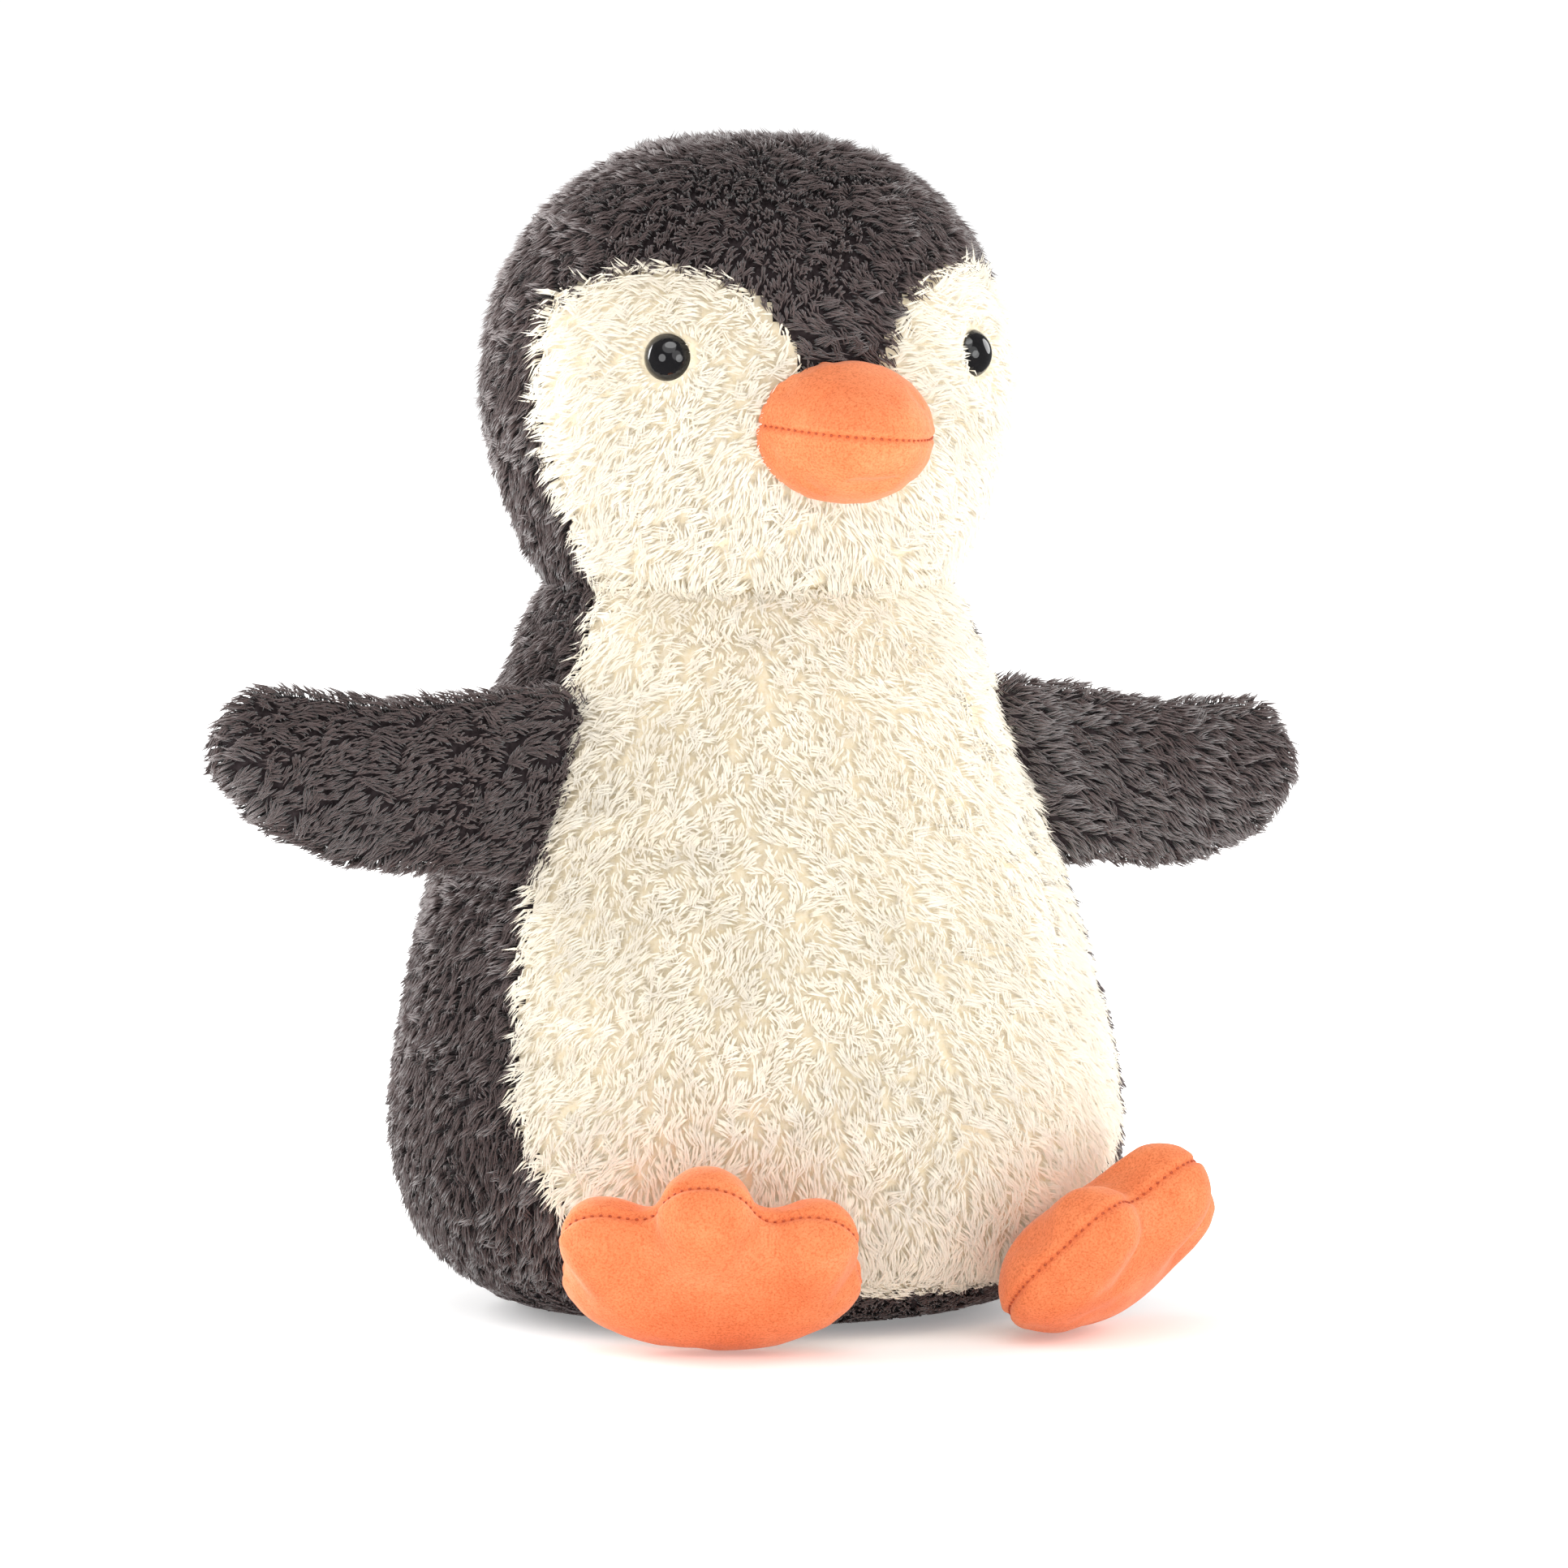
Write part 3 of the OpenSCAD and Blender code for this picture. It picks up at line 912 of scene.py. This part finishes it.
length = np.where(label == 0, PALE_LENGTH, DARK_LENGTH) * (0.55 + 0.45 * lower)
angle = np.where(p[:, 2] < 0.012, 1.35, angle)
TORSO_PILE = {
    "belly_panel": "belly_pile",
    "back_panel_left": "back_pile_left",
    "back_panel_right": "back_pile_right",
    "base_panel": "base_pile",
}
torso_skins = split_by_node(
    torso,
    TORSO_NODES,
    torso_label,
    ["belly_fabric", "back_fabric_left", "back_fabric_right", "base_fabric"],
    [PALE_BACKING, DARK_BACKING, DARK_BACKING, DARK_BACKING],
)


def attach(ob, node):
    """The base is attached to the body; the panels above it have their placing baked into their meshes."""
    if node == "base_panel":
        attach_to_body(ob, "torso")
    else:
        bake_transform(ob)


for k, node in enumerate(TORSO_NODES):
    skin = torso_skins[node]
    attach(skin, node)
    groups = chunks(label == k, p)
    for i, g in enumerate(groups):
        name = TORSO_PILE[node] + (f"_{i + 1}" if len(groups) > 1 else "")
        pile = tufts(
            name, p[g], n[g], f[g], angle[g], clump[g], length[g], 20 + 10 * k + i, *PILES[k > 0]
        )
        attach(pile, node)
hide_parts("belly_panel", "body_stuffing")
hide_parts("back_panel_left")
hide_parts("back_panel_right")
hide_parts("base_panel", "bean_pouch", "bean_fill")

# head
p, n = sample(head, TUFT_CELL, seed=51)
ok = ((p[:, :2] * n[:, :2]).sum(1) > -0.02) & (n[:, 2] > -0.8) & clear_of_beak_and_eyes(p)
p, n = p[ok], n[ok]
label = head_of(p)
clumps, _ = sample(head, CLUMP_CELL, seed=52)
beak_mid = np.array([0, -0.07, MOUTH_Z])
flow = np.tile([0, 0, -1.0], (len(p), 1))
pale = label < 2
flow[pale] = 0.9 * unit(p[pale] - beak_mid) + [0, 0, -0.75]
flow[~pale] = [0, 0.25, -1.0]
f, angle, clump = comb(p, n, flow, clumps, seed=53, lean=0.85, wild=0.45)
CHIN_LEAN, CHIN_LONGER = 1.2, 0.2  # tufts along the chin lie down over the neck seam
CROWN_SHORTER = 0.95
chin = 1 - smooth_step(p[:, 2], HEAD_LOW + 0.001, HEAD_LOW + 0.009)
angle = angle * (1 - chin) + CHIN_LEAN * chin
length = np.where(pale, PALE_LENGTH, DARK_LENGTH * CROWN_SHORTER) * (1 + CHIN_LONGER * chin)
for centre, away in EYES.values():
    d = np.linalg.norm(p - (centre - away * 0.004), axis=1)
    short = 1 - smooth_step(d, 0.008, 0.016)
    length = length * (1 - 0.3 * short)
    f = unit(f + 1.2 * short[:, None] * unit(p - centre))
HEAD_PILE = {
    "face_panel_left": "face_pile_left",
    "face_panel_right": "face_pile_right",
    "crown_panel_left": "crown_pile_left",
    "crown_panel_right": "crown_pile_right",
}
head_skins = split_by_node(
    head,
    HEAD_NODES,
    head_of,
    ["face_fabric_left", "face_fabric_right", "crown_fabric_left", "crown_fabric_right"],
    [PALE_BACKING, PALE_BACKING, DARK_BACKING, DARK_BACKING],
)
for k, node in enumerate(HEAD_NODES):
    skin = head_skins[node]
    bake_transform(skin)
    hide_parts(node)
    groups = chunks(label == k, p)
    for i, g in enumerate(groups):
        name = HEAD_PILE[node] + (f"_{i + 1}" if len(groups) > 1 else "")
        pile = tufts(
            name, p[g], n[g], f[g], angle[g], clump[g], length[g], 60 + 10 * k + i, *PILES[k > 1]
        )
        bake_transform(pile)
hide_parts("head_stuffing", "neck_stuffing")
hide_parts("eye_washer_left")
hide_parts("eye_washer_right")

# flippers
FLIPPER_BEND = (-0.006, 0.009)  # along the flipper: two places, made into world points below and not used further

for s, side in enumerate(SIDES):
    skin, place = flippers[side]
    p, n = sample(skin, TUFT_CELL, seed=101 + s)
    q = place.local(p)
    ok = q[:, 0] > -0.011
    p, n, q = p[ok], n[ok], q[ok]
    clumps, _ = sample(skin, CLUMP_CELL, seed=103 + s)
    tip_way = unit(middle(f"flipper_{side}_stuffing") - place.o)
    down = -place.m[2]
    flow = tip_way + np.outer(0.55 - q[:, 2] / 0.05 * 0.5, down)
    f, angle, clump = comb(p, n, flow, clumps, seed=105 + s, lean=0.98, spread=0.3, wild=0.2)
    start, end = (tuple(place.world((x, 0, 0))) for x in FLIPPER_BEND)
    pile = tufts(
        f"flipper_pile_{side}", p, n, f, angle, clump, DARK_LENGTH * np.ones(len(p)), 107 + s, *PILES[1]
    )
    skin.name = f"flipper_fabric_{side}"
    skin.data.materials.append(DARK_BACKING)
    for ob in (skin, pile):
        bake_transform(ob)
    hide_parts(*[f"flipper_{side}_{k}" for k in ("front", "back", "stuffing")])


# ---------------------------------------------------------------- suede pieces and their seams


def seam_loop(ob, place):
    """The points where a skin crosses its seam plane, local z = 0, in order round the edge."""
    bm = bmesh.new()
    bm.from_mesh(ob.data)
    cut = bmesh.ops.bisect_plane(
        bm,
        geom=[*bm.verts, *bm.edges, *bm.faces],
        plane_co=Vector(place.o),
        plane_no=Vector(place.m[2]),
    )["geom_cut"]
    edges = [e for e in cut if isinstance(e, bmesh.types.BMEdge)]
    links = {}
    for e in edges:
        a, b = e.verts
        links.setdefault(a, []).append(b)
        links.setdefault(b, []).append(a)
    start = next((v for v in links if len(links[v]) == 1), next(iter(links)))
    path, last, here = [start], None, start
    while True:
        step = [v for v in links[here] if v is not last and v is not start]
        if not step or len(path) > len(links):
            break
        last, here = here, step[0]
        path.append(here)
    out = np.array([v.co[:] for v in path])
    bm.free()
    return out


SEAM_LIP = 0.00025  # how far the cloth stands up beside a seam
SEAM_LINE, SEAM_SHADE = 0.0005, 0.4  # half width and strength of the painted shade, a darker line down in a seam
STITCH_PITCH, STITCH_LENGTH, STITCH_THICK = 0.0025, 0.0010, 0.00030


def sew(ob, place, groove=0.0009, reach=0.0022):
    """Draws the skin in along its seam plane and marks how near the seam each point is, as the strength of
    the painted seam shade.
    """
    co, no = coords(ob), vertex_normals(ob)
    d = np.abs(place.local(co)[:, 2])
    depth = np.exp(-((d / (reach * 0.5)) ** 2))
    lip = np.exp(-(((d - reach) / (reach * 0.55)) ** 2))
    set_coords(ob, co - no * (groove * depth - SEAM_LIP * lip)[:, None])
    # painted shade: strongest on the seam line, fading within SEAM_LINE of it
    layer = ob.data.attributes.new("seam", "FLOAT", "POINT")
    layer.data.foreach_set("value", (SEAM_SHADE * np.exp(-((d / SEAM_LINE) ** 2))).astype(np.float32))


def halves(ob, place, names):
    """Cuts a sewn skin in two along its seam plane: the side local z points to comes first."""
    out = []
    for k, name in enumerate(names):
        bm = bmesh.new()
        bm.from_mesh(ob.data)
        bmesh.ops.bisect_plane(
            bm,
            geom=[*bm.verts, *bm.edges, *bm.faces],
            plane_co=Vector(place.o),
            plane_no=Vector(place.m[2]),
            clear_inner=(k == 0),
            clear_outer=(k == 1),
        )
        me = bpy.data.meshes.new(name)
        bm.to_mesh(me)
        bm.free()
        me.polygons.foreach_set("use_smooth", np.ones(len(me.polygons), bool))
        part = bpy.data.objects.new(name, me)
        SCENE.collection.objects.link(part)
        me.materials.clear()
        me.materials.append(SUEDE)
        out.append(part)
    bpy.data.objects.remove(ob)
    return out


def stitches(name, path):
    """Short stitches laid along a seam: closed six-sided beads, sunk a little into the groove."""
    s = np.concatenate([[0], np.cumsum(np.linalg.norm(np.diff(path, axis=0), axis=1))])
    count = max(2, int(s[-1] / STITCH_PITCH))
    at = (np.arange(count) + 0.5) * s[-1] / count
    verts, faces = [], []

    def on(t):
        return np.array([np.interp(t, s, path[:, k]) for k in range(3)])

    centre = path.mean(0)
    for t in at:
        a, b = on(t - STITCH_LENGTH / 2), on(t + STITCH_LENGTH / 2)
        way = unit(b - a)
        out = unit((a + b) / 2 - centre)
        out = unit(out - (out @ way) * way)
        side = np.cross(way, out)
        base = len(verts)
        for k, (u, r) in enumerate(((0, 0.35), (0.25, 1.0), (0.75, 1.0), (1, 0.35))):
            c = a + (b - a) * u + out * STITCH_THICK * (0.1 + 0.9 * math.sin(math.pi * u))
            for i in range(6):
                ang = i * math.pi / 3
                verts.append(c + STITCH_THICK * r * (math.cos(ang) * side + math.sin(ang) * out))
        for k in range(3):
            for i in range(6):
                j = (i + 1) % 6
                o = base + 6 * k
                faces.append((o + i, o + 6 + i, o + 6 + j, o + j))
        faces.append(tuple(base + i for i in range(6)))
        faces.append(tuple(base + 18 + i for i in range(5, -1, -1)))
    ob = new_object(name, verts, faces)
    ob.data.materials.append(THREAD)
    return ob


for side in SIDES:
    skin, place = feet[side]
    sew(skin, place)
    path = seam_loop(skin, place)
    upper, sole = halves(skin, place, [f"foot_{side}_upper_cloth", f"foot_{side}_sole_cloth"])
    thread = stitches(f"foot_{side}_stitches", path)
    for ob in (upper, sole, thread):
        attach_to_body(ob, f"foot_{side}")
    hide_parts(f"foot_{side}_upper", f"foot_{side}_stuffing")
    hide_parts(f"foot_{side}_sole")

beak_place = Place((0, beak_root_y, MOUTH_Z), (1, 0, 0), (0, 1, 0), (0, 0, 1))
sew(beak, beak_place, groove=0.0006, reach=0.0018)
path = seam_loop(beak, beak_place)
path = path[path[:, 1] < beak_root_y - 0.004]
upper, lower_half = halves(beak, beak_place, ["beak_upper_cloth", "beak_lower_cloth"])
thread = stitches("beak_stitches", path)
for ob in (upper, lower_half, thread):
    set_coords(ob, beak_set(coords(ob)))
    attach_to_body(ob, "head")
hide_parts("beak_upper", "beak_stuffing")
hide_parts("beak_lower")


# ---------------------------------------------------------------- eyes


def turned(name, line, centre, way, segments=64):
    """A lathed solid about the line from centre along way; line is (radius, height) pairs."""
    way = unit(way)
    a = unit(np.cross(way, UP))
    b = np.cross(way, a)
    verts, faces = [], []
    for r, h in line:
        for k in range(segments):
            t = k * 2 * math.pi / segments
            verts.append(centre + way * h + r * (math.cos(t) * a + math.sin(t) * b))
    for i in range(len(line) - 1):
        for k in range(segments):
            j = (k + 1) % segments
            o = i * segments
            faces.append((o + k, o + j, o + segments + j, o + segments + k))
    faces.append(tuple(range(segments - 1, -1, -1)))
    faces.append(tuple(len(verts) - segments + k for k in range(segments)))
    return new_object(name, verts, faces)


EYE_RADIUS, EYE_RISE = 0.0069, 0.0050
SHANK_RADIUS, SHANK_DEPTH = 0.0022, 0.011
DOME_RINGS = 18

for side in SIDES:
    top, away = EYES[side]
    rise, r = EYE_RISE, EYE_RADIUS
    ball = (r * r + rise * rise) / (2 * rise)
    line = [(SHANK_RADIUS, -SHANK_DEPTH), (SHANK_RADIUS, -rise - 0.0006), (r - 0.0008, -rise - 0.0006)]
    line += [(r, -rise - 0.0002), (r, -rise + 0.0002)]
    for k in range(1, DOME_RINGS):
        t = math.asin(r / ball) * (1 - k / DOME_RINGS)
        line.append((ball * math.sin(t), ball * math.cos(t) - ball))
    line.append((0.00005, 0.0))
    dome = turned(f"eye_dome_{side}", line, top, away)
    dome.data.materials.append(EYE)
    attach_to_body(dome, "head")
    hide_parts(f"eye_{side}")


# ---------------------------------------------------------------- floor, light and camera


FLOOR_HALF = 6  # metres from its middle to its edge


def direction(azimuth, elevation):
    """From the toy towards a light or the camera; both angles are in degrees."""
    a, e = math.radians(azimuth), math.radians(elevation)
    return Vector((math.sin(a) * math.cos(e), -math.cos(a) * math.cos(e), math.sin(e)))


def aim(ob, back):
    """Turns a light or the camera to look back at the toy."""
    ob.rotation_mode = "QUATERNION"
    ob.rotation_quaternion = (-back).to_track_quat("-Z", "Y")


def floor():
    """A white sweep that fades to plain white away from the toy."""
    corners = [(-FLOOR_HALF, -FLOOR_HALF, 0), (FLOOR_HALF, -FLOOR_HALF, 0)]
    corners += [(FLOOR_HALF, FLOOR_HALF, 0), (-FLOOR_HALF, FLOOR_HALF, 0)]
    ob = new_object("floor", corners, [(0, 1, 2, 3)], smooth=False)
    mat, nt, p = node_material("pale_floor")
    p.inputs["Base Color"].default_value = (0.9, 0.9, 0.9, 1)
    p.inputs["Roughness"].default_value = 0.9
    p.inputs["Specular IOR Level"].default_value = 0.0
    p.inputs["Emission Color"].default_value = (1, 1, 1, 1)
    tc = nt.nodes.new("ShaderNodeTexCoord")
    away = add(nt, "ShaderNodeVectorMath", operation="LENGTH")
    glow = add(nt, "ShaderNodeMapRange", interpolation_type="SMOOTHSTEP")
    for k, value in (("From Min", 0.12), ("From Max", 0.45), ("To Min", 0.25), ("To Max", 1.0)):
        glow.inputs[k].default_value = value
    nt.links.new(tc.outputs["Object"], away.inputs[0])
    nt.links.new(away.outputs["Value"], glow.inputs["Value"])
    nt.links.new(glow.outputs[0], p.inputs["Emission Strength"])
    ob.data.materials.append(mat)
    ob.visible_glossy = False
    ob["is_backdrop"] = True


def softbox(name, azimuth, elevation, distance, size, power, tall=None, catch=False):
    """A soft light aimed at the toy; a catch light is seen only in the eyes' gloss."""
    light = bpy.data.lights.new(name, "AREA")
    light.shape = "ELLIPSE"
    light.size, light.size_y = size, tall or size
    light.energy = power
    ob = bpy.data.objects.new(name, light)
    back = direction(azimuth, elevation)
    ob.location = LIGHTS_AIM + back * distance
    aim(ob, back)
    if catch:
        ob.visible_diffuse = False
    SCENE.collection.objects.link(ob)


VIEW_AZIMUTH, VIEW_ELEVATION, VIEW_DISTANCE = -22.0, 4.3, 3.0
FRAME_PIXELS, METRES_PER_PIXEL = 1932, 0.0002348
TARGET_Z, TARGET_RIGHT = 0.1507, 0.0103  # the middle of the picture: its height, and how far right it is
LIGHTS_AIM = Vector((0, 0, 0.2))

floor()
softbox("overhead_soft", VIEW_AZIMUTH - 5, 50, 1.6, 1.6, 8)
softbox("right_soft", VIEW_AZIMUTH + 30, 14, 1.6, 1.2, 4)
softbox("right_rim", VIEW_AZIMUTH + 115, 20, 1.5, 1.0, 11)
softbox("left_rim", VIEW_AZIMUTH - 124, 14, 1.5, 1.2, 38)
softbox("catch_top", VIEW_AZIMUTH + 4, 61, 1.3, 1.0, 5, tall=0.72, catch=True)
softbox("catch_left", VIEW_AZIMUTH - 34, 4, 1.3, 0.72, 4, catch=True)
softbox("catch_right", VIEW_AZIMUTH + 41, 2, 1.3, 0.72, 4, catch=True)

world = bpy.data.worlds.new("studio")
SCENE.world = world
world.use_nodes = True
wt = world.node_tree
wt.nodes.clear()
out = wt.nodes.new("ShaderNodeOutputWorld")
rays = wt.nodes.new("ShaderNodeLightPath")
seen = add(wt, "ShaderNodeBackground", Color=(1, 1, 1, 1), Strength=1.05)
lit = add(wt, "ShaderNodeBackground", Color=(1, 0.99, 0.98, 1), Strength=0.69)
mirrored = add(wt, "ShaderNodeBackground", Color=(1, 1, 1, 1), Strength=0.2)
for_gloss, for_camera = wt.nodes.new("ShaderNodeMixShader"), wt.nodes.new("ShaderNodeMixShader")
wt.links.new(rays.outputs["Is Glossy Ray"], for_gloss.inputs[0])
wt.links.new(lit.outputs[0], for_gloss.inputs[1])
wt.links.new(mirrored.outputs[0], for_gloss.inputs[2])
wt.links.new(rays.outputs["Is Camera Ray"], for_camera.inputs[0])
wt.links.new(for_gloss.outputs[0], for_camera.inputs[1])
wt.links.new(seen.outputs[0], for_camera.inputs[2])
wt.links.new(for_camera.outputs[0], out.inputs[0])
SCENE.view_settings.view_transform = "Standard"

camera = bpy.data.objects.new("camera", bpy.data.cameras.new("camera"))
SCENE.collection.objects.link(camera)
SCENE.camera = camera
camera.data.lens = camera.data.sensor_width * VIEW_DISTANCE / (FRAME_PIXELS * METRES_PER_PIXEL)
back = direction(VIEW_AZIMUTH, VIEW_ELEVATION)
right = Vector((math.cos(math.radians(VIEW_AZIMUTH)), math.sin(math.radians(VIEW_AZIMUTH)), 0))
target = Vector((0, 0, TARGET_Z)) + right * TARGET_RIGHT
camera.location = target + back * VIEW_DISTANCE
aim(camera, back)
camera.data.clip_end = 50

low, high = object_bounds()
